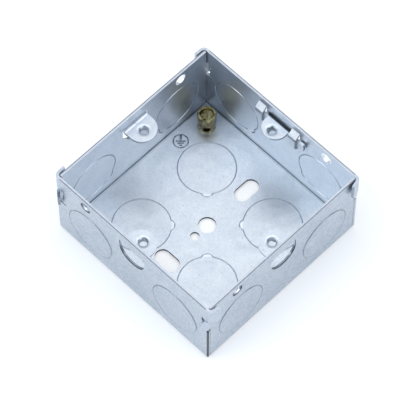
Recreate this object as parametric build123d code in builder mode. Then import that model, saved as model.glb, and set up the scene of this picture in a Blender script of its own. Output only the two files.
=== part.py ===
import os
from math import asin, cos, degrees, pi, radians, sin, sqrt

from build123d import *

os.makedirs("parts", exist_ok=True)

# A square, 35 mm deep steel flush back box for one wiring accessory. Millimetres throughout.
# The origin is the middle of the underside, the open side faces up, and the adjustable lug is on +X.

# Sheet and outside size. The accessory's two screws set the width: their pitch and their distance in from
# the walls add up to it.
sheet = 1.0
screw_pitch = 60.3
screw_to_wall = 5.35
box_depth = 35.0
fold_inside = 0.5
screw_reach = screw_pitch / 2
outer_face = screw_reach + screw_to_wall
inner_face = outer_face - sheet
wall_middle = outer_face - sheet / 2
box_width = 2 * outer_face
overcut = 0.6

# Walls, named by the angle that brings the front wall's pattern round to them
front_wall_angle = 0
right_wall_angle = 90
back_wall_angle = 180
left_wall_angle = 270
wall_angles = (front_wall_angle, right_wall_angle, back_wall_angle, left_wall_angle)

# Tapped holes of the lugs
thread_bore = 1.45
screw_mouth = 1.85
dish_radius = 2.5
dish_depth = 0.1
collar_radius = 2.45
collar_length = 1.2

# Fixed lugs, lanced out of their own wall and folded inward
lug_angles = (front_wall_angle, back_wall_angle, left_wall_angle)
lug_drop = 5.8
lug_half_width = 5.35
lug_end_set = 1.05
lug_bend = 1.0
lug_root = 0.6
lance_gap = 0.45
lance_head = 0.2
lug_top = box_depth - lug_drop
lug_end_reach = screw_reach + lug_end_set
lug_bend_height = lug_top + lug_bend
lug_tail = inner_face - lug_bend - lug_end_reach

# Adjustable lug, a plate that slides behind two straps pressed out of the right wall
slider_drop = 5.1
slider_half_width = 4.7
slider_end_set = 1.65
slider_bend = 0.3
slider_corner = 0.5
slider_rest = -0.65
plate_gap = 0.5
arm_half_length = 11.5
arm_shift = -0.5
arm_drop = 0.2
arm_height = 3.6
arm_corner = 0.6
slider_top = box_depth - slider_drop
slider_end_reach = screw_reach + slider_end_set
plate_inner = inner_face - plate_gap - sheet
arm_top = slider_top - arm_drop
arm_bottom = arm_top - arm_height

# Straps that hold the sliding plate
strap_clearance = 1.35
strap_width = 3.4
strap_sheet = 0.9
strap_play = 0.05
strap_bend = 1.2
strap_above = 0.35
strap_below = 0.5
strap_lead = 1.2
strap_gap = 0.1
strap_offset = slider_half_width + strap_clearance + strap_width / 2
strap_high = arm_top + strap_above
strap_low = arm_bottom - strap_below
strap_middle = plate_inner - strap_play - strap_sheet / 2
strap_ramp = wall_middle - strap_middle

# Rim ears, which carry the side walls round the corners
ear_height = 7.5
ear_bend = 1.0
ear_set = 0.6
front_ear_angle = 76.0
back_ear_angle = -87.0
ear_tail = 2.6
ear_relief = 0.4
ear_bottom = box_depth - ear_height
ear_bend_start = outer_face - ear_set

# Hooks below the ears, and the notches that they pass through
hook_bend = 0.8
hook_gap = 0.25
hook_drop = 0.3
hook_root_height = 5.8
hook_height = 6.8
hook_shoulder = 1.2
hook_end_drop = 1.9
hook_length = 2.3
flat_hook_turn = 90.0
loose_hook_turn = 52.0
loose_hook_tail = 1.5
notch_length = 2.5
notch_height = 7.7
notch_clear = 0.15
slit_length = 3.8
slit_height = 0.6
seam = 0.15
seam_foot = 1.5
hook_top = ear_bottom - hook_drop
hook_end_top = hook_top - hook_end_drop
hook_root_bottom = hook_top - hook_root_height
hook_bottom = hook_top - hook_height
notch_bottom = ear_bottom - notch_height

# Knockouts, ringed by a fine groove in the inner face, each with a pry notch
knockout_radius = 10.25
groove_width = 0.45
groove_depth = 0.32
notch_half_width = 2.05
notch_reach = 1.1
base_knockout = 15.85
wall_knockout_set = 15.5
wall_knockout_height = 15.4
wall_knockout = outer_face - wall_knockout_set

# Holes
rim_hole_set = 13.7
rim_hole_drop = 3.7
rim_hole_radius = 2.25
rim_hole_offset = rim_hole_set - outer_face
rim_hole_height = box_depth - rim_hole_drop
centre_hole_radius = 3.2
pilot_offset = -6.0
pilot_radius = 1.65
slot_offset = 19.2
slot_length = 10.0
slot_width = 5.7

# Earth terminal: a brass pillar riveted to the base, with a slotted clamping screw
pillar_set = 6.5
pillar_radius = 3.35
pillar_height = 7.75
pillar_edge = 0.15
rivet_radius = 1.8
rivet_head = 2.4
rivet_play = 0.02
terminal_bore = 2.3
terminal_play = 0.05
terminal_mouth = 0.15
terminal_floor = 1.7
wire_hole_radius = 1.35
wire_hole_height = 3.2
screw_recess = 0.55
screw_length = 3.6
screw_edge = 0.25
driver_slot_width = 0.8
driver_slot_depth = 1.0
pillar_offset = inner_face - pillar_set
pillar_top = sheet + pillar_height
screw_top = pillar_top - screw_recess


def upright(turn, origin=(0, 0, 0)):
    """Vertical plane: local x runs along a wall at this turn, local y is up and local z goes out through it."""
    angle = radians(turn)
    return Plane(origin=origin, x_dir=(cos(angle), sin(angle), 0), z_dir=(sin(angle), -cos(angle), 0))


def bent_strip(centre, inside, start, turn, lead, tail):
    """Section of a strip one sheet thick: a straight lead, a bend round centre and a straight tail."""
    sense = 1 if turn > 0 else -1
    middle = Vector(*centre)
    first = Vector(cos(radians(start)), sin(radians(start)))
    last = Vector(cos(radians(start + turn)), sin(radians(start + turn)))
    back = Vector(first.Y, -first.X) * (sense * lead)
    onward = Vector(-last.Y, last.X) * (sense * tail)
    outside = inside + sheet
    with BuildSketch() as section:
        with BuildLine():
            Line(middle + first * inside + back, middle + first * inside)
            CenterArc(centre, inside, start, turn)
            Line(middle + last * inside, middle + last * inside + onward)
            Line(middle + last * inside + onward, middle + last * outside + onward)
            Line(middle + last * outside + onward, middle + last * outside)
            CenterArc(centre, outside, start, turn)
            Line(middle + first * outside, middle + first * outside + back)
            Line(middle + first * outside + back, middle + first * inside + back)
        make_face()
    return section.sketch


def mouth_section(top, bottom):
    """Half section of a tapped lug hole: a shallow dish, a lead-in and the bore down to the collar's end."""
    with BuildSketch() as section:
        with BuildLine():
            Polyline(
                (0, top + overcut),
                (dish_radius, top + overcut),
                (dish_radius, top),
                (screw_mouth, top - dish_depth),
                (thread_bore, top - dish_depth - (screw_mouth - thread_bore)),
                (thread_bore, bottom - overcut),
                (0, bottom - overcut),
                close=True,
            )
        make_face()
    return section.sketch


def tab_end(centre, radius, start):
    """Half disc that rounds a tab's free end or its opening; start is the bearing of its first corner."""
    with BuildSketch() as outline:
        with BuildLine():
            rounding = CenterArc(centre, radius, start, 180)
            Line(rounding @ 0, rounding @ 1)
        make_face()
    return outline.sketch


# One knockout's groove, drawn round the origin as if the sheet's face lay at height 0.
# The ring is open on +X, where the groove swings out round the pry notch.
gap_angle = degrees(asin(notch_half_width / knockout_radius))
chord_distance = sqrt(knockout_radius**2 - notch_half_width**2)
notch_rise = knockout_radius + notch_reach - chord_distance
notch_radius = (notch_half_width**2 + notch_rise**2) / (2 * notch_rise)
notch_centre = knockout_radius + notch_reach - notch_radius
notch_angle = degrees(asin(notch_half_width / notch_radius))


def groove_section(radius):
    """V section of a groove at a radius, carried a little above the sheet's face."""
    above = 0.1
    half = groove_width / 2
    half_above = half * (1 + above / groove_depth)
    with BuildSketch() as section:
        with BuildLine():
            Polyline((radius - half_above, above), (radius + half_above, above), (radius, -groove_depth), close=True)
        make_face()
    return section.sketch


with BuildPart() as knockout_groove:
    with BuildSketch(upright(gap_angle)):
        add(groove_section(knockout_radius))
    revolve(axis=Axis.Z, revolution_arc=360 - 2 * gap_angle)
    with BuildSketch(upright(-notch_angle, origin=(notch_centre, 0, 0))):
        add(groove_section(notch_radius))
    revolve(axis=Axis((notch_centre, 0, 0), (0, 0, 1)), revolution_arc=2 * notch_angle)


def knockout_places():
    """Inner faces of all twelve knockouts: local x points to the pry notch, local z out of the sheet."""
    places = []
    for x in (-base_knockout, base_knockout):
        for y in (-base_knockout, base_knockout):
            places.append(Plane(origin=(x, y, sheet), x_dir=(-x, -y, 0), z_dir=(0, 0, 1)).location)
    for turn in wall_angles:
        wall = upright(turn)
        for side in (-1, 1):
            toward_notch = wall.x_dir * -side + Vector(0, 0, -1)
            across = wall.x_dir * (side * wall_knockout) + wall.z_dir * inner_face
            middle = across + Vector(0, 0, wall_knockout_height)
            places.append(Plane(origin=middle, x_dir=toward_notch, z_dir=wall.z_dir * -1).location)
    return places


# Fixed lug, drawn at the front wall: wall root, bend, tab with a round end, and a plunged, tapped hole
with BuildPart() as fixed_lug:
    with BuildSketch(Plane.YZ.offset(-lug_half_width)):
        add(
            bent_strip(
                centre=(-inner_face + lug_bend, lug_bend_height),
                inside=lug_bend,
                start=180,
                turn=90,
                lead=lug_root,
                tail=lug_tail,
            )
        )
    extrude(amount=2 * lug_half_width)
    with BuildSketch(Plane.XY.offset(lug_top - sheet)):
        add(tab_end((0, -lug_end_reach), lug_half_width, 0))
    extrude(amount=sheet)
    with BuildSketch(Plane.XY.offset(lug_top - sheet)):
        with Locations((0, -screw_reach)):
            Circle(collar_radius)
    extrude(amount=-collar_length)
    with BuildSketch(upright(front_wall_angle, origin=(0, -screw_reach, 0))):
        add(mouth_section(lug_top, lug_top - sheet - collar_length))
    revolve(axis=Axis((0, -screw_reach, 0), (0, 0, 1)), mode=Mode.SUBTRACT)


# The folded box: one sheet, with its walls, lugs, straps, ears and hooks all part of it
with BuildPart() as back_box:
    with BuildSketch():
        Rectangle(box_width, box_width)
    extrude(amount=box_depth)
    fillet(back_box.edges().group_by(Axis.Z)[0], radius=fold_inside + sheet)
    with BuildSketch(Plane.XY.offset(sheet)):
        Rectangle(2 * inner_face, 2 * inner_face)
    extrude(amount=box_depth, mode=Mode.SUBTRACT)
    fillet(back_box.edges().filter_by_position(Axis.Z, sheet, sheet), radius=fold_inside)

    # Seams: the front and back walls stand between the side walls, wider apart behind the ears
    with BuildSketch(Plane.XY.offset(seam_foot)):
        with GridLocations(2 * inner_face - seam, 2 * outer_face, 2, 2):
            Rectangle(seam, 2 * sheet + overcut)
    extrude(amount=box_depth, mode=Mode.SUBTRACT)
    with BuildSketch(Plane.XY.offset(ear_bottom)):
        with GridLocations(2 * inner_face - ear_relief, 2 * outer_face, 2, 2):
            Rectangle(ear_relief, 2 * sheet + overcut)
    extrude(amount=box_depth, mode=Mode.SUBTRACT)

    # Notches in the side walls' edges for the hooks, and the trim where each ear's bend begins
    for turn in (right_wall_angle, left_wall_angle):
        with BuildSketch(upright(turn).offset(inner_face - seam / 2)):
            with BuildLine():
                Polyline(
                    (outer_face + overcut, ear_bottom),
                    (outer_face - notch_length, ear_bottom),
                    (outer_face - notch_length, notch_bottom + slit_height),
                    (outer_face - slit_length, notch_bottom + slit_height),
                    (outer_face - slit_length, notch_bottom),
                    (outer_face - hook_length, notch_bottom),
                    (outer_face - hook_length, hook_bottom - notch_clear),
                    (outer_face, hook_root_bottom - notch_clear),
                    (outer_face + overcut, hook_root_bottom - notch_clear),
                    close=True,
                )
            make_face()
            mirror(about=Plane.YZ)
        extrude(amount=sheet + overcut, mode=Mode.SUBTRACT)
        with BuildSketch(upright(turn).offset(inner_face - seam / 2)):
            with Locations((0, (ear_bottom + box_depth) / 2)):
                with GridLocations(outer_face + ear_bend_start, 0, 2, 1):
                    Rectangle(outer_face - ear_bend_start, box_depth - ear_bottom)
        extrude(amount=sheet + overcut, mode=Mode.SUBTRACT)

    # Rim ears, folded round the corners, tight on the back wall and sprung a little away from the front one
    with BuildSketch(Plane.XY.offset(ear_bottom)):
        for end, ear_angle in ((-1, front_ear_angle), (1, back_ear_angle)):
            add(
                bent_strip(
                    centre=(inner_face - ear_bend, end * ear_bend_start),
                    inside=ear_bend,
                    start=0,
                    turn=-ear_angle,
                    lead=ear_bend,
                    tail=ear_tail,
                )
            )
        mirror(about=Plane.YZ)
    extrude(amount=box_depth - ear_bottom)

    # Hooks, carried through the notches. Two opposite ones are folded back flat over the side walls, and the
    # other two are left standing out.
    hook_centre_x = outer_face + hook_gap - hook_bend
    hook_centre_y = inner_face - hook_bend
    with BuildSketch(Plane.XY.offset(hook_bottom)):
        with PolarLocations(0, 2):
            for end, hook_turn, tail in (
                (1, flat_hook_turn, hook_length - outer_face + hook_centre_y),
                (-1, loose_hook_turn, loose_hook_tail),
            ):
                add(
                    bent_strip(
                        centre=(hook_centre_x, end * hook_centre_y),
                        inside=hook_bend,
                        start=end * right_wall_angle,
                        turn=-end * hook_turn,
                        lead=hook_centre_x - inner_face + ear_relief,
                        tail=tail,
                    )
                )
    extrude(amount=hook_top - hook_bottom)

    # The hooks' sloping top and bottom edges
    for turn in (right_wall_angle, left_wall_angle):
        with BuildSketch(upright(turn).offset(inner_face - seam)):
            with BuildLine():
                Polyline(
                    (outer_face - hook_shoulder, hook_top),
                    (outer_face - hook_length, hook_end_top),
                    (outer_face - hook_length - overcut, hook_end_top),
                    (outer_face - hook_length - overcut, hook_top + overcut),
                    (outer_face - hook_shoulder, hook_top + overcut),
                    close=True,
                )
            make_face()
            with BuildLine():
                Polyline(
                    (outer_face + overcut, hook_root_bottom),
                    (outer_face, hook_root_bottom),
                    (outer_face - hook_length, hook_bottom),
                    (outer_face - hook_length, hook_bottom - overcut),
                    (outer_face + overcut, hook_bottom - overcut),
                    close=True,
                )
            make_face()
            mirror(about=Plane.YZ)
        extrude(amount=sheet + seam + hook_gap + 2 * overcut + sheet, mode=Mode.SUBTRACT)

    # Openings left in three walls where the lugs were lanced out, then the lugs themselves. An opening is as
    # long as its lug laid flat, measured along the inside of the bend.
    lance_radius = lug_half_width + lance_gap
    lance_centre_height = lug_bend_height - lug_bend * pi / 2 - lug_tail
    lance_height = lug_bend_height + lance_head - lance_centre_height
    for turn in lug_angles:
        with BuildSketch(upright(turn).offset(inner_face - overcut)):
            add(tab_end((0, lance_centre_height), lance_radius, 180))
            with Locations((0, lance_centre_height + lance_height / 2)):
                Rectangle(2 * lance_radius, lance_height)
        extrude(amount=sheet + 2 * overcut, mode=Mode.SUBTRACT)
    with Locations([Location((0, 0, 0), (0, 0, turn)) for turn in lug_angles]):
        add(fixed_lug.part)

    # Windows of the two straps in the right wall, and the straps bulged inward across them
    window_low = strap_low - strap_ramp - strap_gap
    window_high = strap_high + strap_ramp + strap_gap
    with BuildSketch(upright(right_wall_angle).offset(inner_face - overcut)):
        with Locations((0, (window_low + window_high) / 2)):
            with GridLocations(2 * strap_offset, 0, 2, 1):
                Rectangle(strap_width + 2 * strap_gap, window_high - window_low)
    extrude(amount=sheet + 2 * overcut, mode=Mode.SUBTRACT)
    for side in (-1, 1):
        with BuildSketch(upright(front_wall_angle).offset(side * strap_offset - strap_width / 2)):
            with BuildLine():
                FilletPolyline(
                    (wall_middle, strap_high + strap_ramp + strap_lead),
                    (wall_middle, strap_high + strap_ramp),
                    (strap_middle, strap_high),
                    (strap_middle, strap_low),
                    (wall_middle, strap_low - strap_ramp),
                    (wall_middle, strap_low - strap_ramp - strap_lead),
                    radius=strap_bend,
                )
            trace(line_width=strap_sheet)
        extrude(amount=strap_width)

    # Round hole near the rim of every wall
    for turn in wall_angles:
        with BuildSketch(upright(turn).offset(inner_face - overcut)):
            with Locations((rim_hole_offset, rim_hole_height)):
                Circle(rim_hole_radius)
        extrude(amount=sheet + 2 * overcut, mode=Mode.SUBTRACT)

    # Fixing slots, centre hole and pilot hole in the base
    with BuildSketch(Plane.XY.offset(-overcut)):
        Circle(centre_hole_radius)
        with Locations((pilot_offset, 0)):
            Circle(pilot_radius)
        with Locations((slot_offset, 0)):
            SlotOverall(slot_length, slot_width)
        with Locations((-slot_offset, 0)):
            SlotOverall(slot_length, slot_width, rotation=90)
    extrude(amount=sheet + 2 * overcut, mode=Mode.SUBTRACT)

    # Countersunk hole for the earth pillar's rivet end
    with BuildSketch(upright(front_wall_angle, origin=(pillar_offset, pillar_offset, 0))):
        with BuildLine():
            Polyline(
                (0, -overcut),
                (rivet_head + rivet_play, -overcut),
                (rivet_head + rivet_play, 0),
                (rivet_radius + rivet_play, rivet_head - rivet_radius),
                (rivet_radius + rivet_play, sheet + overcut),
                (0, sheet + overcut),
                close=True,
            )
        make_face()
    revolve(axis=Axis((pillar_offset, pillar_offset, 0), (0, 0, 1)), mode=Mode.SUBTRACT)

    # Knockout grooves
    with Locations(knockout_places()):
        add(knockout_groove.part, mode=Mode.SUBTRACT)

back_box.part.label = "back_box"
export_step(back_box.part, "parts/back_box.step")


# Adjustable lug: a flat plate with two arms, and a tapped tab bent inward from its top edge
with BuildPart() as adjustable_lug:
    with BuildSketch(upright(right_wall_angle).offset(plate_inner)):
        with Locations((slider_rest + arm_shift, (arm_bottom + arm_top) / 2)):
            RectangleRounded(2 * arm_half_length, arm_top - arm_bottom, arm_corner)
    extrude(amount=sheet)
    with BuildSketch(upright(front_wall_angle).offset(-slider_rest - slider_half_width)) as tab_section:
        with BuildLine():
            Polyline(
                (plate_inner, arm_bottom),
                (plate_inner + sheet, arm_bottom),
                (plate_inner + sheet, slider_top),
                (slider_end_reach, slider_top),
                (slider_end_reach, slider_top - sheet),
                (plate_inner, slider_top - sheet),
                close=True,
            )
        make_face()
        fillet(tab_section.vertices().sort_by_distance((plate_inner, slider_top - sheet))[0], slider_bend)
        fillet(tab_section.vertices().sort_by_distance((plate_inner + sheet, slider_top))[0], slider_corner)
    extrude(amount=2 * slider_half_width)
    with BuildSketch(Plane.XY.offset(slider_top - sheet)):
        add(tab_end((slider_end_reach, slider_rest), slider_half_width, 90))
    extrude(amount=sheet)
    with BuildSketch(Plane.XY.offset(slider_top - sheet)):
        with Locations((screw_reach, slider_rest)):
            Circle(collar_radius)
    extrude(amount=-collar_length)
    with BuildSketch(upright(front_wall_angle, origin=(screw_reach, slider_rest, 0))):
        add(mouth_section(slider_top, slider_top - sheet - collar_length))
    revolve(axis=Axis((screw_reach, slider_rest, 0), (0, 0, 1)), mode=Mode.SUBTRACT)

adjustable_lug.part.label = "adjustable_lug"
export_step(adjustable_lug.part, "parts/adjustable_lug.step")


# Earth pillar: turned brass, riveted into the base, with a blind bore and a wire hole across it
with BuildPart() as earth_pillar:
    with BuildSketch(upright(front_wall_angle, origin=(pillar_offset, pillar_offset, 0))):
        with BuildLine():
            Polyline(
                (0, 0),
                (rivet_head, 0),
                (rivet_radius, rivet_head - rivet_radius),
                (rivet_radius, sheet),
                (pillar_radius, sheet),
                (pillar_radius, pillar_top - pillar_edge),
                (pillar_radius - pillar_edge, pillar_top),
                (terminal_bore + terminal_mouth, pillar_top),
                (terminal_bore, pillar_top - terminal_mouth),
                (terminal_bore, terminal_floor),
                (0, terminal_floor),
                close=True,
            )
        make_face()
    revolve(axis=Axis((pillar_offset, pillar_offset, 0), (0, 0, 1)))
    with BuildSketch(upright(-45, origin=(pillar_offset, pillar_offset, 0))):
        with Locations((0, wire_hole_height)):
            Circle(wire_hole_radius)
    extrude(amount=pillar_radius + overcut, both=True, mode=Mode.SUBTRACT)

earth_pillar.part.label = "earth_pillar"
export_step(earth_pillar.part, "parts/earth_pillar.step")


# Clamping screw: headless, slotted, backed off above the wire hole
with BuildPart() as earth_screw:
    with BuildSketch(Plane((pillar_offset, pillar_offset, screw_top - screw_length))):
        Circle(terminal_bore - terminal_play)
    extrude(amount=screw_length)
    chamfer(earth_screw.edges(), length=screw_edge)
    with BuildSketch(Plane((pillar_offset, pillar_offset, screw_top - driver_slot_depth))):
        Rectangle(2 * terminal_bore, driver_slot_width, rotation=45)
    extrude(amount=driver_slot_depth + overcut, mode=Mode.SUBTRACT)

earth_screw.part.label = "earth_screw"
export_step(earth_screw.part, "parts/earth_screw.step")
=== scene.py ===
"""Flush back box: finishes, small pressed details and the stage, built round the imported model."""
from math import cos, pi, radians, sin, sqrt, tau

import bpy
from bpy.props import FloatProperty, FloatVectorProperty, PointerProperty
from bpy.types import Operator, Panel, PropertyGroup
from mathutils import Matrix, Vector


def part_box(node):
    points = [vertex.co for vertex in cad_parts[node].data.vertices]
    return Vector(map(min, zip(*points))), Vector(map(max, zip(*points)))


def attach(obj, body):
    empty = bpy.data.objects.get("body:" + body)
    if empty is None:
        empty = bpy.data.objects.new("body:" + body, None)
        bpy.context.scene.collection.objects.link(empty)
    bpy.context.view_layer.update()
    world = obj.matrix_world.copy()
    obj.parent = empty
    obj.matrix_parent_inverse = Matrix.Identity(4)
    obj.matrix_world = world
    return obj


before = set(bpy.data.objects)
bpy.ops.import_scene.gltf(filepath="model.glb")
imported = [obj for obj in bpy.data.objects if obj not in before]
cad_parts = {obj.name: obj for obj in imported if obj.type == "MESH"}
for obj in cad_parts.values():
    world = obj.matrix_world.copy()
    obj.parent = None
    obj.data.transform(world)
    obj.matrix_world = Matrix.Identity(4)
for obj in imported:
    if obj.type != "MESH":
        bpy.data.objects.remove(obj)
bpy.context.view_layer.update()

bl_info = {
    "name": "Flush back box",
    "version": (1, 0, 0),
    "blender": (4, 5, 0),
    "location": "View3D > Sidebar > Back box",
    "description": "Galvanised and brass finishes, knockout discs, tapped threads and an earth mark",
    "category": "Object",
}

MM = 0.001
LUG_LOW, LUG_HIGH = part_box("adjustable_lug")
PICTURE_WIDTH = 415

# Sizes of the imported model, in millimetres: the sheet, the walls' faces from the middle, and heights above the
# underside
SHEET = 1.0
OUTER_FACE, INNER_FACE = 35.5, 34.5
RIM, FIXED_LUG_TOP = 35.0, 29.2
# Middle of the adjustable lug at rest, along its wall
SLIDE_REST = -0.65
# Knockouts of the walls: their radius, their distance from the wall's middle and their height
KNOCKOUT_RADIUS, KNOCKOUT_SIDE, KNOCKOUT_LEVEL = 10.25, 20.0, 15.4

# Places of a Mix node's colour sockets
MIX_A, MIX_B, MIX_RESULT = 6, 7, 2


def linear(code):
    """An sRGB hex colour as linear red, green and blue."""
    parts = [int(code[i : i + 2], 16) / 255 for i in (1, 3, 5)]
    return tuple(p / 12.92 if p <= 0.04045 else ((p + 0.055) / 1.055) ** 2.4 for p in parts)


def rgba(colour):
    """A colour with full alpha, as node sockets take it."""
    return (*colour, 1.0)


def node(tree, kind, inputs=None, **settings):
    """Adds a node with its settings. Inputs are values, or sockets to link."""
    made = tree.nodes.new(kind)
    for name, value in settings.items():
        setattr(made, name, value)
    for key, value in (inputs or {}).items():
        if isinstance(value, bpy.types.NodeSocket):
            tree.links.new(value, made.inputs[key])
        else:
            made.inputs[key].default_value = value
    return made


class BoxSizes(PropertyGroup):
    """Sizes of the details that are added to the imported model."""

    sheet: FloatProperty(name="Sheet", description="Thickness of the steel sheet", default=SHEET * MM, unit="LENGTH")
    knockout_radius: FloatProperty(
        name="Knockout radius",
        description="Radius of a 20 mm conduit knockout",
        default=KNOCKOUT_RADIUS * MM,
        unit="LENGTH",
    )
    knockout_rise: FloatProperty(
        name="Knockout rise",
        description="How far a pressed knockout stands out of the outer face",
        default=0.16 * MM,
        unit="LENGTH",
    )
    wall_knockout: FloatProperty(
        name="Wall knockout offset",
        description="Knockout centres, from the wall's middle",
        default=KNOCKOUT_SIDE * MM,
        unit="LENGTH",
    )
    wall_knockout_height: FloatProperty(
        name="Wall knockout height",
        description="Knockout centres above the underside",
        default=KNOCKOUT_LEVEL * MM,
        unit="LENGTH",
    )
    base_knockout: FloatProperty(
        name="Base knockout offset",
        description="Knockout centres, from the base's middle",
        default=15.85 * MM,
        unit="LENGTH",
    )
    notch_half_width: FloatProperty(
        name="Pry notch half width", description="Half the width of the pry notch", default=2.05 * MM, unit="LENGTH"
    )
    notch_reach: FloatProperty(
        name="Pry notch reach", description="How far the notch stands out of the disc", default=1.1 * MM, unit="LENGTH"
    )
    screw_reach: FloatProperty(
        name="Screw reach", description="Half the pitch of the accessory's screws", default=30.15 * MM, unit="LENGTH"
    )
    thread_bore: FloatProperty(
        name="Thread bore", description="Radius of a lug's tapped bore", default=1.45 * MM, unit="LENGTH"
    )
    thread_pitch: FloatProperty(
        name="Thread pitch", description="Pitch of the M3.5 thread", default=0.6 * MM, unit="LENGTH"
    )
    thread_ridge: FloatProperty(
        name="Thread ridge",
        description="How far the thread's crest stands into the bore",
        default=0.16 * MM,
        unit="LENGTH",
    )
    mark_radius: FloatProperty(
        name="Earth mark radius", description="Radius of the pressed earth mark's ring", default=2.6 * MM, unit="LENGTH"
    )
    mark_place: FloatVectorProperty(
        name="Earth mark place",
        description="Middle of the earth mark on the base",
        size=2,
        default=(17.0 * MM, 29.8 * MM),
        unit="LENGTH",
    )


class BoxColours(PropertyGroup):
    """Colours of the finishes, and of the painted shade and highlights."""

    zinc: FloatVectorProperty(
        name="Zinc",
        description="Main colour of the galvanised sheet",
        size=3,
        subtype="COLOR",
        default=linear("#ced3da"),
    )
    zinc_deep: FloatVectorProperty(
        name="Zinc, deep patches",
        description="Bluer, darker patches in the zinc",
        size=3,
        subtype="COLOR",
        default=linear("#a3b1c1"),
    )
    # Dark bare steel for specks and nicks, also painted shade on the sheared edges and on the lug's plate behind its
    # tab
    bare_steel_and_shade: FloatVectorProperty(
        name="Cut edge", description="Bare sheared steel edges", size=3, subtype="COLOR", default=linear("#3a3c42")
    )
    rim_edge: FloatVectorProperty(
        name="Rim edge", description="Sheared top edge of the walls", size=3, subtype="COLOR", default=linear("#a8adbb")
    )
    brass: FloatVectorProperty(
        name="Brass", description="Turned brass of the earth pillar", size=3, subtype="COLOR", default=linear("#bab083")
    )
    brass_deep: FloatVectorProperty(
        name="Brass, tarnished", description="Tarnish in the brass", size=3, subtype="COLOR", default=linear("#52482a")
    )
    # Painted highlight in the punched screw holes and the base knockouts' pry notches
    painted_highlight: FloatVectorProperty(
        name="Burnished zinc",
        description="Bright zinc where a punch or hand rubbed it",
        size=3,
        subtype="COLOR",
        default=linear("#f4f7fb"),
    )
    # Painted shade at the knockouts' steps, the folds, behind the lug and on the left hook
    crevice_shade: FloatVectorProperty(
        name="Crevice",
        description="Dark blue-grey in folds and round knockouts",
        size=3,
        subtype="COLOR",
        default=linear("#56677a"),
    )
    # Painted shade in the open corner seam
    seam: FloatVectorProperty(
        name="Open seam",
        description="Nearly black open corner seam",
        size=3,
        subtype="COLOR",
        default=linear("#1d2026"),
    )
    # Painted shade of the stamped earth mark's lines
    stamped: FloatVectorProperty(
        name="Stamped lines",
        description="Lines of the stamped earth mark",
        size=3,
        subtype="COLOR",
        default=linear("#66727f"),
    )
    floor: FloatVectorProperty(
        name="Floor", description="Pale studio floor", size=3, subtype="COLOR", default=linear("#d9dadc")
    )


def deselect():
    """Leaves object mode with nothing selected."""
    if bpy.context.object and bpy.context.object.mode != "OBJECT":
        bpy.ops.object.mode_set(mode="OBJECT")
    bpy.ops.object.select_all(action="DESELECT")


def apply_modifier(obj, kind, **settings):
    """Adds a modifier with its settings and applies it."""
    bpy.context.view_layer.objects.active = obj
    modifier = obj.modifiers.new(kind.title(), kind)
    for name, value in settings.items():
        setattr(modifier, name, value)
    bpy.ops.object.modifier_apply(modifier=modifier.name)


def settle(obj, name, body, material, matrix=None, smooth=35):
    """Puts a finished piece's place into its mesh, closes its doubles, and gives it its body and finish."""
    if matrix is not None:
        obj.matrix_world = matrix @ obj.matrix_world
    deselect()
    obj.select_set(True)
    bpy.context.view_layer.objects.active = obj
    bpy.ops.object.transform_apply(location=True, rotation=True, scale=True)
    bpy.ops.object.mode_set(mode="EDIT")
    bpy.ops.mesh.select_all(action="SELECT")
    bpy.ops.mesh.remove_doubles(threshold=1e-6)
    bpy.ops.mesh.normals_make_consistent(inside=False)
    bpy.ops.object.mode_set(mode="OBJECT")
    obj.name = obj.data.name = name
    obj.data.materials.clear()
    obj.data.materials.append(material)
    if smooth:
        bpy.ops.object.shade_smooth_by_angle(angle=radians(smooth))
    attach(obj, body)
    deselect()
    return obj


def copy_of(obj):
    """A copy of a piece with a mesh of its own."""
    twin = obj.copy()
    twin.data = obj.data.copy()
    bpy.context.scene.collection.objects.link(twin)
    return twin


def near(tree, value, middle, half, soft):
    """Mask: 1 where a number is within half of middle, fading to 0 over soft."""
    away = node(tree, "ShaderNodeMath", {0: value, 1: middle}, operation="SUBTRACT")
    size = node(tree, "ShaderNodeMath", {0: away.outputs[0]}, operation="ABSOLUTE")
    return node(
        tree,
        "ShaderNodeMapRange",
        {"Value": size.outputs[0], "From Min": half, "From Max": half + soft, "To Min": 1.0, "To Max": 0.0},
    ).outputs[0]


def product(tree, *values):
    """Several masks multiplied."""
    result = values[0]
    for value in values[1:]:
        result = node(tree, "ShaderNodeMath", {0: result, 1: value}, operation="MULTIPLY").outputs[0]
    return result


def highest(tree, *values):
    """The highest of several masks."""
    result = values[0]
    for value in values[1:]:
        result = node(tree, "ShaderNodeMath", {0: result, 1: value}, operation="MAXIMUM").outputs[0]
    return result


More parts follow.
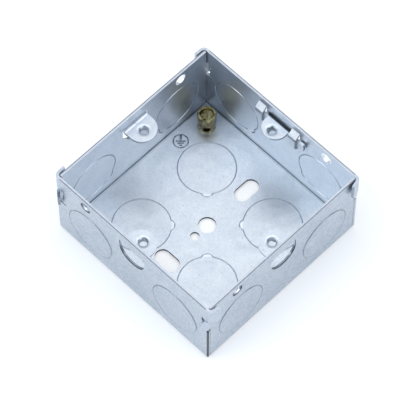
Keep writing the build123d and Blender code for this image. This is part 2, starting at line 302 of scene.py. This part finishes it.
def sheared_edges(tree, colours, place, facing):
    """Layers of the sheet's cut edges, with painted highlights in the punched holes and notches, painted shade on the
    sheared steel and the rim's own colour, and the sheared edges' mask.
    """
    x, y, height, across_x, across_y, outward = place
    along_wall = node(tree, "ShaderNodeMath", {0: across_x, 1: across_y}, operation="MINIMUM").outputs[0]
    diagonal = node(tree, "ShaderNodeMath", {0: across_x, 1: across_y}, operation="ADD").outputs[0]
    beside = node(tree, "ShaderNodeMath", {0: across_x, 1: across_y}, operation="SUBTRACT").outputs[0]
    # Masks that are 0 at the first number, in millimetres, and 1 at the second
    fade = {
        mask: node(tree, "ShaderNodeMapRange", {"Value": value, "From Min": start, "From Max": full}).outputs[0]
        for mask, value, start, full in (
            ("above fold", height, 1.6, 1.7),
            ("below hook", height, 21.3, 21.2),
            ("left part", x, 1.0, 0.0),
            ("short of corner", across_y, INNER_FACE - 0.2, INNER_FACE - 0.3),
            ("end reach", across_x, INNER_FACE - 0.3, INNER_FACE - 0.4),
            ("far walls", highest(tree, x, y), INNER_FACE - 0.05, INNER_FACE),
            ("above lugs", height, 28.0, 28.1),
            ("below rim", height, RIM - 0.3, RIM - 0.4),
            ("inside outer face", outward, OUTER_FACE - 0.03, OUTER_FACE - 0.05),
            ("between ears", along_wall, 31.0, 30.9),
            ("in base", height, SHEET + 0.3, SHEET + 0.2),
            ("upward", facing[2], 0.6, 0.8),
            ("at rim", height, RIM - 0.1, RIM - 0.05),
        )
    }

    # A sheared edge lies inside the sheet's thickness and faces along it. Only the outer half of the thickness is
    # painted dark, bare steel with painted shade over it; the inner half keeps the zinc's colour
    along_x, along_y, along_z = (near(tree, part, 0.0, 0.3, 0.1) for part in facing)
    shaded_half = OUTER_FACE - 0.19
    in_side = near(tree, across_x, shaded_half, 0.12, 0.05)
    in_end = near(tree, across_y, shaded_half, 0.12, 0.05)
    in_base = near(tree, height, SHEET / 2, 0.47, 0.03)
    over_base = product(tree, near(tree, across_x, 0.0, 33.0, 0.2), near(tree, across_y, 0.0, 33.0, 0.2))
    side_reach = highest(tree, fade["short of corner"], product(tree, fade["below hook"], fade["left part"]))
    sheared = highest(
        tree,
        product(tree, in_side, along_x, fade["above fold"], side_reach),
        product(tree, in_end, along_y, fade["above fold"], fade["end reach"]),
        product(tree, in_base, along_z, over_base),
    )
    # The screw holes near the rim of the two far walls are painted bright all through: painted highlight
    hole_places = ("far walls", "above lugs", "below rim", "inside outer face", "between ears")
    sheet_middle = (OUTER_FACE + INNER_FACE) / 2
    punched = product(tree, *(fade[mask] for mask in hole_places), near(tree, outward, sheet_middle, 0.46, 0.02))
    not_punched = node(tree, "ShaderNodeMapRange", {"Value": punched, "To Min": 1.0, "To Max": 0.0}).outputs[0]
    sheared = product(tree, sheared, not_punched)
    # Pry notches of the base's knockouts, with a painted highlight, where x and y are alike and add up to 16.5 mm
    notch = product(tree, near(tree, diagonal, 16.5, 0.55, 0.3), near(tree, beside, 0.0, 1.7, 0.6), fade["in base"])
    # Painted highlight in the punched holes and notches, bare steel with painted shade on the sheared edges, and the
    # rim's own colour
    layers = [
        (highest(tree, product(tree, punched, 0.9), product(tree, notch, 0.35)), colours.painted_highlight),
        (product(tree, sheared, 0.9), colours.bare_steel_and_shade),
        (product(tree, fade["upward"], fade["at rim"], 0.35), colours.rim_edge),
    ]
    return layers, sheared


def dark_places(tree, colours, place, outside):
    """Layers of painted shade on the sheet: knockout steps, folds, the gap behind the lug, a hook and the seam."""
    x, y, height, across_x, across_y, outward = place
    # Masks that are 0 at the first number, in millimetres, and 1 at the second
    near_end, below_hook, past_face, at_far_end = (
        node(tree, "ShaderNodeMapRange", {"Value": value, "From Min": start, "From Max": full}).outputs[0]
        for value, start, full in (
            (y, -34.9, -35.0),
            (height, 20.2, 20.0),
            (x, -OUTER_FACE - 0.25, -OUTER_FACE - 0.3),
            (y, 30.0, 30.1),
        )
    )

    # Painted shade at the step round each pressed knockout on the outer walls, deepest at the side that the light
    # misses
    on_side = node(tree, "ShaderNodeMath", {0: across_x, 1: across_y}, operation="GREATER_THAN").outputs[0]
    sideways = node(tree, "ShaderNodeMapRange", {"Value": on_side, "To Min": x, "To Max": y}).outputs[0]
    which = node(tree, "ShaderNodeMath", {0: sideways}, operation="SIGN").outputs[0]
    from_side = node(
        tree, "ShaderNodeMath", {0: which, 1: -KNOCKOUT_SIDE, 2: sideways}, operation="MULTIPLY_ADD"
    ).outputs[0]
    from_level = node(tree, "ShaderNodeMath", {0: height, 1: KNOCKOUT_LEVEL}, operation="SUBTRACT").outputs[0]
    offset = node(tree, "ShaderNodeCombineXYZ", {0: from_side, 1: from_level}).outputs[0]
    reach = node(tree, "ShaderNodeVectorMath", {0: offset}, operation="LENGTH").outputs["Value"]
    lee = node(tree, "ShaderNodeVectorMath", {0: offset, 1: (0.9, -0.44, 0.0)}, operation="DOT_PRODUCT")
    depth = node(
        tree,
        "ShaderNodeMapRange",
        {"Value": lee.outputs["Value"], "From Min": 4.0, "From Max": 7.5, "To Min": 0.25, "To Max": 0.8},
    ).outputs[0]
    foot = product(tree, near(tree, reach, KNOCKOUT_RADIUS - 0.11, 0.16, 0.1), outside, depth)
    # Painted shade along the line where a wall is folded up from the base
    fold = product(tree, near(tree, outward, INNER_FACE - 0.25, 0.3, 0.15), near(tree, height, 1.2, 0.4, 0.3), 0.5)
    # Painted shade in the gap behind the adjustable lug
    behind_lug = product(
        tree,
        near(tree, x, INNER_FACE, 0.1, 0.05),
        near(tree, y, SLIDE_REST, 5.6, 0.3),
        near(tree, height, FIXED_LUG_TOP + 0.1, 0.9, 0.3),
        0.9,
    )
    # Painted shade on the left hook, and painted shade in the open seam down the corner nearest the camera
    hook = product(tree, past_face, at_far_end, 0.55)
    seam = product(tree, near(tree, x, 0.2 - OUTER_FACE, 0.26, 0.05), near_end, below_hook, 0.95)
    return [(highest(tree, foot, fold, behind_lug, hook), colours.crevice_shade), (seam, colours.seam)]


def blank_material(name):
    """A new material with its empty node tree, its texture coordinates, and the object's coordinates in mm."""
    material = bpy.data.materials.new(name)
    material.use_nodes = True
    tree = material.node_tree
    tree.nodes.clear()
    coordinates = node(tree, "ShaderNodeTexCoord")
    in_mm = node(
        tree, "ShaderNodeVectorMath", {0: coordinates.outputs["Object"], 1: (1 / MM,) * 3}, operation="MULTIPLY"
    ).outputs[0]
    return material, tree, coordinates, in_mm


def galvanised_steel(name, colours, edges):
    """Hot-dip galvanised mild steel: pale blue-grey zinc with soft spangle, fine specks and bare sheared edges, with
    painted shade and highlights.
    """
    material, tree, coordinates, in_mm = blank_material(name)
    x, y, height = node(tree, "ShaderNodeSeparateXYZ", {0: in_mm}).outputs
    facing = node(tree, "ShaderNodeSeparateXYZ", {0: coordinates.outputs["Normal"]}).outputs
    across_x = node(tree, "ShaderNodeMath", {0: x}, operation="ABSOLUTE").outputs[0]
    across_y = node(tree, "ShaderNodeMath", {0: y}, operation="ABSOLUTE").outputs[0]
    outward = highest(tree, across_x, across_y)
    place = (x, y, height, across_x, across_y, outward)

    # Spangle: zinc crystals about 4 mm across, each a little lighter or darker than the next
    warp = node(tree, "ShaderNodeTexNoise", {"Vector": in_mm, "Scale": 0.35, "Detail": 3.0})
    warped = node(
        tree, "ShaderNodeVectorMath", {0: warp.outputs["Color"], 1: (3.0,) * 3, 2: in_mm}, operation="MULTIPLY_ADD"
    )
    spangle = node(tree, "ShaderNodeTexVoronoi", {"Vector": warped.outputs[0], "Scale": 1 / 4.0}, feature="F1")
    crystal = node(tree, "ShaderNodeSeparateColor", {0: spangle.outputs["Color"]}).outputs[0]
    # Clouds of bluer zinc, 10 to 20 mm across
    clouds = node(tree, "ShaderNodeTexNoise", {"Vector": in_mm, "Scale": 0.07, "Detail": 4.0, "Roughness": 0.6})
    # Grain of the coating, drawn at 0.8 mm so that it shows
    grain = node(tree, "ShaderNodeTexNoise", {"Vector": in_mm, "Scale": 1.25, "Detail": 4.0, "Roughness": 0.65})
    # Dark specks and nicks under a millimetre across
    specks = node(tree, "ShaderNodeTexNoise", {"Vector": in_mm, "Scale": 0.9, "Detail": 2.0, "Roughness": 0.8})
    cloudy, flake, outside = (
        node(tree, "ShaderNodeMapRange", {"Value": value, "From Min": start, "From Max": full}).outputs[0]
        for value, start, full in (
            (clouds.outputs[0], 0.35, 0.68),
            (grain.outputs[0], 0.35, 0.65),
            (outward, OUTER_FACE - 0.2, OUTER_FACE - 0.1),
        )
    )
    speck_mask = node(
        tree, "ShaderNodeMapRange", {"Value": specks.outputs[0], "From Min": 0.66, "From Max": 0.76, "To Max": 0.5}
    ).outputs[0]
    # The outer faces were handled and rubbed, so their flake shows more
    flake_share = node(tree, "ShaderNodeMapRange", {"Value": outside, "To Min": 0.3, "To Max": 0.62}).outputs[0]
    # The outer faces take a tenth more of the deeper, bluer zinc, as painted shade
    tint = 0.0
    for mask, share in ((cloudy, 0.2), (crystal, 0.12), (flake, flake_share), (outside, 0.1)):
        tint = node(
            tree, "ShaderNodeMath", {0: mask, 1: share, 2: tint}, operation="MULTIPLY_ADD", use_clamp=True
        ).outputs[0]
    rough = node(
        tree,
        "ShaderNodeMapRange",
        {"Value": grain.outputs[0], "From Min": 0.3, "From Max": 0.7, "To Min": 0.27, "To Max": 0.38},
    ).outputs[0]

    # Masks and colours over the plain zinc, each over those before it
    layers = [(tint, colours.zinc_deep), (speck_mask, colours.bare_steel_and_shade)]
    if edges:
        cut_layers, torn = sheared_edges(tree, colours, place, facing)
        layers += cut_layers
        rough = node(tree, "ShaderNodeMapRange", {"Value": torn, "To Min": rough, "To Max": 0.7}).outputs[0]
        layers += dark_places(tree, colours, place, outside)
    else:
        # The lug's plate lies in shade behind its tab, and is painted dark there: painted shade
        root = node(tree, "ShaderNodeMapRange", {"Value": x, "From Min": 33.35, "From Max": 33.6}).outputs[0]
        layers.append((product(tree, root, near(tree, y, SLIDE_REST, 5.2, 0.2), 0.92), colours.bare_steel_and_shade))
    colour = rgba(colours.zinc)
    for mask, over in layers:
        colour = node(
            tree, "ShaderNodeMix", {0: mask, MIX_A: colour, MIX_B: rgba(over)}, data_type="RGBA"
        ).outputs[MIX_RESULT]

    # Slight waves in the sheet, about 8 mm across, under the grain's own relief
    waves = node(tree, "ShaderNodeTexNoise", {"Vector": in_mm, "Scale": 0.12, "Detail": 2.0})
    bump = node(tree, "ShaderNodeBump", {"Height": waves.outputs[0], "Strength": 0.35, "Distance": 0.6 * MM})
    bump = node(
        tree,
        "ShaderNodeBump",
        {"Height": grain.outputs[0], "Strength": 0.3, "Distance": 0.05 * MM, "Normal": bump.outputs[0]},
    )
    shader = node(
        tree,
        "ShaderNodeBsdfPrincipled",
        {"Base Color": colour, "Roughness": rough, "Metallic": 0.85, "Normal": bump.outputs[0]},
    )
    node(tree, "ShaderNodeOutputMaterial", {"Surface": shader.outputs[0]})
    return material


def stamped_steel(name, colours):
    """Galvanised mild steel struck by a stamp: its lines are painted darker than the sheet, painted shade of the
    stamped lines.
    """
    material, tree, _, in_mm = blank_material(name)
    # Lighter patches about a millimetre across in the lines' painted shade
    torn = node(tree, "ShaderNodeTexNoise", {"Vector": in_mm, "Scale": 1.0, "Detail": 3.0})
    patches = node(
        tree, "ShaderNodeMapRange", {"Value": torn.outputs[0], "From Min": 0.4, "From Max": 0.62}
    ).outputs[0]
    colour = node(
        tree,
        "ShaderNodeMix",
        {0: patches, MIX_A: rgba(colours.stamped), MIX_B: rgba(colours.zinc_deep)},
        data_type="RGBA",
    ).outputs[MIX_RESULT]
    bump = node(tree, "ShaderNodeBump", {"Height": torn.outputs[0], "Strength": 0.3, "Distance": 0.1 * MM})
    shader = node(
        tree,
        "ShaderNodeBsdfPrincipled",
        {"Base Color": colour, "Roughness": 0.45, "Metallic": 0.7, "Normal": bump.outputs[0]},
    )
    node(tree, "ShaderNodeOutputMaterial", {"Surface": shader.outputs[0]})
    return material


def turned_brass(name, colours, fineness):
    """Turned free-cutting brass, a little tarnished: fine rings round the axis and olive-brown patches."""
    material, tree, _, in_mm = blank_material(name)
    patches = node(tree, "ShaderNodeTexNoise", {"Vector": in_mm, "Scale": 0.45, "Detail": 4.0, "Roughness": 0.7})
    tarnish = node(
        tree, "ShaderNodeMapRange", {"Value": patches.outputs[0], "From Min": 0.42, "From Max": 0.6}
    ).outputs[0]
    colour = node(
        tree,
        "ShaderNodeMix",
        {0: tarnish, MIX_A: rgba(colours.brass), MIX_B: rgba(colours.brass_deep)},
        data_type="RGBA",
    ).outputs[MIX_RESULT]
    # Tool rings: the wave's spacing is 0.314 mm over its scale, so 0.2 mm on the pillar and 0.13 mm on the screw
    rings = node(
        tree,
        "ShaderNodeTexWave",
        {"Vector": in_mm, "Scale": fineness, "Distortion": 0.6, "Detail": 2.0},
        wave_type="BANDS",
        bands_direction="Z",
    )
    bump = node(
        tree, "ShaderNodeBump", {"Height": rings.outputs["Fac"], "Strength": 0.25, "Distance": 0.03 * MM}
    )
    rough = node(
        tree,
        "ShaderNodeMapRange",
        {"Value": patches.outputs[0], "From Min": 0.3, "From Max": 0.7, "To Min": 0.2, "To Max": 0.42},
    ).outputs[0]
    shader = node(
        tree,
        "ShaderNodeBsdfPrincipled",
        {"Base Color": colour, "Roughness": rough, "Metallic": 1.0, "Normal": bump.outputs[0]},
    )
    node(tree, "ShaderNodeOutputMaterial", {"Surface": shader.outputs[0]})
    return material


class BACKBOX_OT_finishes(Operator):
    """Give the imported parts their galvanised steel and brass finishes"""

    bl_idname = "backbox.finishes"
    bl_label = "Finishes"

    def execute(self, context):
        colours = context.scene.box_colours
        sheet_steel = galvanised_steel("hot_dip_galvanised_sheet", colours, edges=True)
        plated_steel = galvanised_steel("galvanised_pressing", colours, edges=False)
        stamped_steel("stamped_zinc", colours)
        for name, material in (
            ("back_box", sheet_steel),
            ("adjustable_lug", plated_steel),
            ("earth_pillar", turned_brass("turned_brass", colours, 1.6)),
            ("earth_screw", turned_brass("turned_brass_screw", colours, 2.4)),
        ):
            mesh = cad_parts[name].data
            mesh.materials.clear()
            mesh.materials.append(material)
        return {"FINISHED"}


class BACKBOX_OT_knockouts(Operator):
    """Add the pressed faces of the knockouts on the box's outer sides and underside"""

    bl_idname = "backbox.knockouts"
    bl_label = "Knockouts"

    def execute(self, context):
        sizes = context.scene.box_sizes
        chord = sqrt(sizes.knockout_radius**2 - sizes.notch_half_width**2)
        rise = sizes.knockout_radius + sizes.notch_reach - chord
        notch_radius = (sizes.notch_half_width**2 + rise**2) / (2 * rise)
        notch_centre = sizes.knockout_radius + sizes.notch_reach - notch_radius
        depth = 2 * sizes.knockout_rise

        deselect()
        bpy.ops.mesh.primitive_cylinder_add(vertices=96, radius=sizes.knockout_radius, depth=depth)
        disc = context.object
        bpy.ops.mesh.primitive_cylinder_add(
            vertices=32, radius=notch_radius, depth=depth, location=(notch_centre, 0, 0)
        )
        notch = context.object
        apply_modifier(disc, "BOOLEAN", operation="UNION", object=notch, solver="EXACT")
        bpy.data.objects.remove(notch)
        apply_modifier(disc, "BEVEL", width=sizes.knockout_rise * 0.9, segments=1, limit_method="ANGLE")

        # Each face's centre, the direction of its pry notch, and outwards
        places = []
        for turn in (0, 90, 180, 270):
            angle = radians(turn)
            along = Vector((cos(angle), sin(angle), 0))
            out = Vector((sin(angle), -cos(angle), 0))
            for side in (-1, 1):
                centre = along * (side * sizes.wall_knockout) + out * (OUTER_FACE * MM)
                centre.z = sizes.wall_knockout_height
                places.append((centre, along * -side + Vector((0, 0, -1)), out))
        down = Vector((0, 0, -1))
        for x in (-1, 1):
            for y in (-1, 1):
                centre = Vector((x, y, 0)) * sizes.base_knockout
                places.append((centre, Vector((-x, -y, 0)), down))
        material = bpy.data.materials["hot_dip_galvanised_sheet"]
        for count, (centre, to_notch, out) in enumerate(places, 1):
            first = to_notch.normalized()
            second = out.cross(first)
            matrix = Matrix((first, second, out)).transposed().to_4x4()
            matrix.translation = centre
            settle(copy_of(disc), f"knockout_face_{count:02d}", "box", material, matrix, smooth=0)
        bpy.data.objects.remove(disc)
        return {"FINISHED"}


class BACKBOX_OT_threads(Operator):
    """Add the thread's crests in the four tapped lug holes"""

    bl_idname = "backbox.threads"
    bl_label = "Threads"

    def execute(self, context):
        sizes = context.scene.box_sizes
        first_crest = 2.0 * MM
        turns = 2
        deselect()
        # One crest's section: a triangle on the bore, wound up by the screw modifier
        bpy.ops.mesh.primitive_circle_add(
            vertices=3, radius=sizes.thread_ridge * 1.1, location=(sizes.thread_bore, 0, 0), rotation=(pi / 2, 0, 0)
        )
        crest = context.object
        bpy.ops.object.transform_apply(location=True, rotation=True, scale=True)
        apply_modifier(
            crest, "SCREW", axis="Z", angle=tau * turns, screw_offset=sizes.thread_pitch * turns, steps=48 * turns
        )
        rest = (LUG_LOW.y + LUG_HIGH.y) / 2
        fixed_top = FIXED_LUG_TOP * MM
        for name, x, y, top, body, slot in (
            ("thread_front", 0, -sizes.screw_reach, fixed_top, "box", "galvanised_steel"),
            ("thread_back", 0, sizes.screw_reach, fixed_top, "box", "galvanised_steel"),
            ("thread_left", -sizes.screw_reach, 0, fixed_top, "box", "galvanised_steel"),
            ("thread_adjustable", sizes.screw_reach, rest, LUG_HIGH.z, "slider", "lug_steel"),
        ):
            matrix = Matrix.Translation((x, y, top - first_crest))
            settle(copy_of(crest), name, body, bpy.data.materials["galvanised_pressing"], matrix)
        bpy.data.objects.remove(crest)
        return {"FINISHED"}


class BACKBOX_OT_earth_mark(Operator):
    """Press the generic earth mark into relief beside the pillar"""

    bl_idname = "backbox.earth_mark"
    bl_label = "Earth mark"

    def execute(self, context):
        sizes = context.scene.box_sizes
        radius = sizes.mark_radius
        half_line = 0.24 * MM
        line = 2 * half_line
        deselect()
        bpy.ops.mesh.primitive_torus_add(
            major_radius=radius, minor_radius=half_line, major_segments=64, minor_segments=10, location=(0, 0, 0)
        )
        ring = context.object
        parts = [ring]
        # The stem and the three bars under it: middle, width and height
        for y, wide, tall in (
            (0.45 * radius, 0.32 * radius, 0.9 * radius),
            (0, 1.3 * radius, line),
            (-0.32 * radius, 0.85 * radius, line),
            (-0.64 * radius, 0.4 * radius, line),
        ):
            deselect()
            bpy.ops.mesh.primitive_cube_add(size=1, location=(0, y, 0))
            bar = context.object
            bar.scale = (wide, tall, line)
            bpy.ops.object.transform_apply(location=True, rotation=True, scale=True)
            apply_modifier(bar, "BEVEL", width=half_line * 0.7, segments=3, limit_method="NONE")
            parts.append(bar)
        deselect()
        for part in parts:
            part.select_set(True)
        context.view_layer.objects.active = ring
        bpy.ops.object.join()
        matrix = Matrix.Translation((*sizes.mark_place, sizes.sheet)) @ Matrix.Rotation(radians(-45), 4, "Z")
        settle(ring, "earth_mark", "box", bpy.data.materials["stamped_zinc"], matrix)
        return {"FINISHED"}


class BACKBOX_OT_stage(Operator):
    """Set out the pale floor, the soft light and the camera"""

    bl_idname = "backbox.stage"
    bl_label = "Stage"

    def execute(self, context):
        scene = context.scene
        colours = scene.box_colours
        deselect()
        # The box stands on its pressed knockout faces, a hair above the floor
        floor_drop = scene.box_sizes.knockout_rise + 0.02 * MM
        floor_width = 6
        bpy.ops.mesh.primitive_plane_add(size=floor_width, location=(0, 0, -floor_drop))
        floor = context.object
        floor.name = "floor"
        material = bpy.data.materials.new("matt_white_paint")
        material.use_nodes = True
        tree = material.node_tree
        tree.nodes.clear()
        paint = node(tree, "ShaderNodeBsdfDiffuse", {"Color": rgba(colours.floor)})
        path = node(tree, "ShaderNodeLightPath")
        seen = node(
            tree,
            "ShaderNodeMath",
            {0: path.outputs["Is Camera Ray"], 1: path.outputs["Is Glossy Ray"]},
            operation="MAXIMUM",
        )
        # The floor glows a little for the camera and in reflections, and adds no light to the box
        glow = node(tree, "ShaderNodeMath", {0: seen.outputs[0], 1: 0.3}, operation="MULTIPLY")
        light = node(tree, "ShaderNodeEmission", {"Color": rgba((1, 1, 1)), "Strength": glow.outputs[0]})
        both = node(tree, "ShaderNodeAddShader", {0: paint.outputs[0], 1: light.outputs[0]})
        node(tree, "ShaderNodeOutputMaterial", {"Surface": both.outputs[0]})
        floor.data.materials.append(material)

        world = bpy.data.worlds.new("studio")
        scene.world = world
        world.use_nodes = True
        tree = world.node_tree
        tree.nodes.clear()
        # A weak blue room with eight broad soft lights: turn from -y towards +x, rise above the floor, the power
        # of the cosine that narrows them, strength and colour. The camera sees plain white
        direction = node(tree, "ShaderNodeTexCoord").outputs["Generated"]
        total = node(tree, "ShaderNodeBackground", {"Color": rgba(linear("#64aefa")), "Strength": 0.1})
        for turn, rise, spread, strength, colour in (
            (0, 90, 6, 0.35, "#fcfbfa"),
            (60, 60, 10, 2.25, "#fcfefc"),
            (120, 60, 10, 0.46, "#fcfbfa"),
            (180, 60, 10, 0.98, "#fcfbfa"),
            (240, 60, 10, 2.0, "#f4fcfe"),
            (240, 32, 10, 1.85, "#fcfefc"),
            (0, 32, 10, 2.1, "#f6faff"),
            (180, 8, 14, 1.0, "#fcfefc"),
        ):
            turn, rise = radians(turn), radians(rise)
            towards = (sin(turn) * cos(rise), -cos(turn) * cos(rise), sin(rise))
            facing = node(tree, "ShaderNodeVectorMath", {0: direction, 1: towards}, operation="DOT_PRODUCT")
            ahead = node(tree, "ShaderNodeMath", {0: facing.outputs["Value"], 1: 0.0}, operation="MAXIMUM")
            lobe = node(tree, "ShaderNodeMath", {0: ahead.outputs[0], 1: spread}, operation="POWER")
            bright = node(tree, "ShaderNodeMath", {0: lobe.outputs[0], 1: strength}, operation="MULTIPLY")
            light = node(tree, "ShaderNodeBackground", {"Color": rgba(linear(colour)), "Strength": bright.outputs[0]})
            total = node(tree, "ShaderNodeAddShader", {0: total.outputs[0], 1: light.outputs[0]})
        path = node(tree, "ShaderNodeLightPath")
        white = node(tree, "ShaderNodeBackground", {"Color": rgba((1, 1, 1)), "Strength": 1.0})
        mix = node(
            tree, "ShaderNodeMixShader", {0: path.outputs["Is Camera Ray"], 1: total.outputs[0], 2: white.outputs[0]}
        )
        node(tree, "ShaderNodeOutputWorld", {"Surface": mix.outputs[0]})

        # The camera as it was fitted to the photo's corners and lugs
        azimuth, elevation, roll = radians(-45.57), radians(61.50), radians(0.402)
        distance = 1046.4 * MM
        aim = Vector((0, 0, 10 * MM))
        shift_right, shift_up = 0.08 * MM, 2.61 * MM
        focal_pixels, sensor = 3083.6, 36
        back = Vector((sin(azimuth) * cos(elevation), -cos(azimuth) * cos(elevation), sin(elevation)))
        right = Vector((cos(azimuth), sin(azimuth), 0))
        up = back.cross(right)
        rolled_right = right * cos(roll) + up * sin(roll)
        rolled_up = up * cos(roll) - right * sin(roll)
        camera_data = bpy.data.cameras.new("camera")
        camera = bpy.data.objects.new("camera", camera_data)
        scene.collection.objects.link(camera)
        centre = aim + rolled_right * shift_right + rolled_up * shift_up
        matrix = Matrix((rolled_right, rolled_up, back)).transposed().to_4x4()
        matrix.translation = centre + back * distance
        camera.matrix_world = matrix
        camera_data.sensor_width = sensor
        camera_data.lens = focal_pixels / PICTURE_WIDTH * sensor
        camera_data.clip_start, camera_data.clip_end = 0.01, 20
        scene.camera = camera
        scene.view_settings.view_transform = "Standard"
        return {"FINISHED"}


class BACKBOX_PT_panel(Panel):
    """Sizes, colours and steps of the back box"""

    bl_idname = "BACKBOX_PT_panel"
    bl_label = "Back box"
    bl_space_type = "VIEW_3D"
    bl_region_type = "UI"
    bl_category = "Back box"

    def draw(self, context):
        for group in (context.scene.box_sizes, context.scene.box_colours):
            for name in group.__annotations__:
                self.layout.prop(group, name)
        for step in STEPS:
            self.layout.operator(step.bl_idname)


STEPS = (
    BACKBOX_OT_finishes,
    BACKBOX_OT_knockouts,
    BACKBOX_OT_threads,
    BACKBOX_OT_earth_mark,
    BACKBOX_OT_stage,
)
CLASSES = (BoxSizes, BoxColours, *STEPS, BACKBOX_PT_panel)


def register():
    """Registers the classes and the scene's settings."""
    for item in CLASSES:
        bpy.utils.register_class(item)
    bpy.types.Scene.box_sizes = PointerProperty(type=BoxSizes)
    bpy.types.Scene.box_colours = PointerProperty(type=BoxColours)


def unregister():
    """Takes the settings and the classes away again."""
    del bpy.types.Scene.box_colours
    del bpy.types.Scene.box_sizes
    for item in reversed(CLASSES):
        bpy.utils.unregister_class(item)


def main():
    """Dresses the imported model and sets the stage."""
    register()
    bpy.ops.backbox.finishes()
    bpy.ops.backbox.knockouts()
    bpy.ops.backbox.threads()
    bpy.ops.backbox.earth_mark()
    bpy.ops.backbox.stage()


if __name__ == "__main__":
    main()
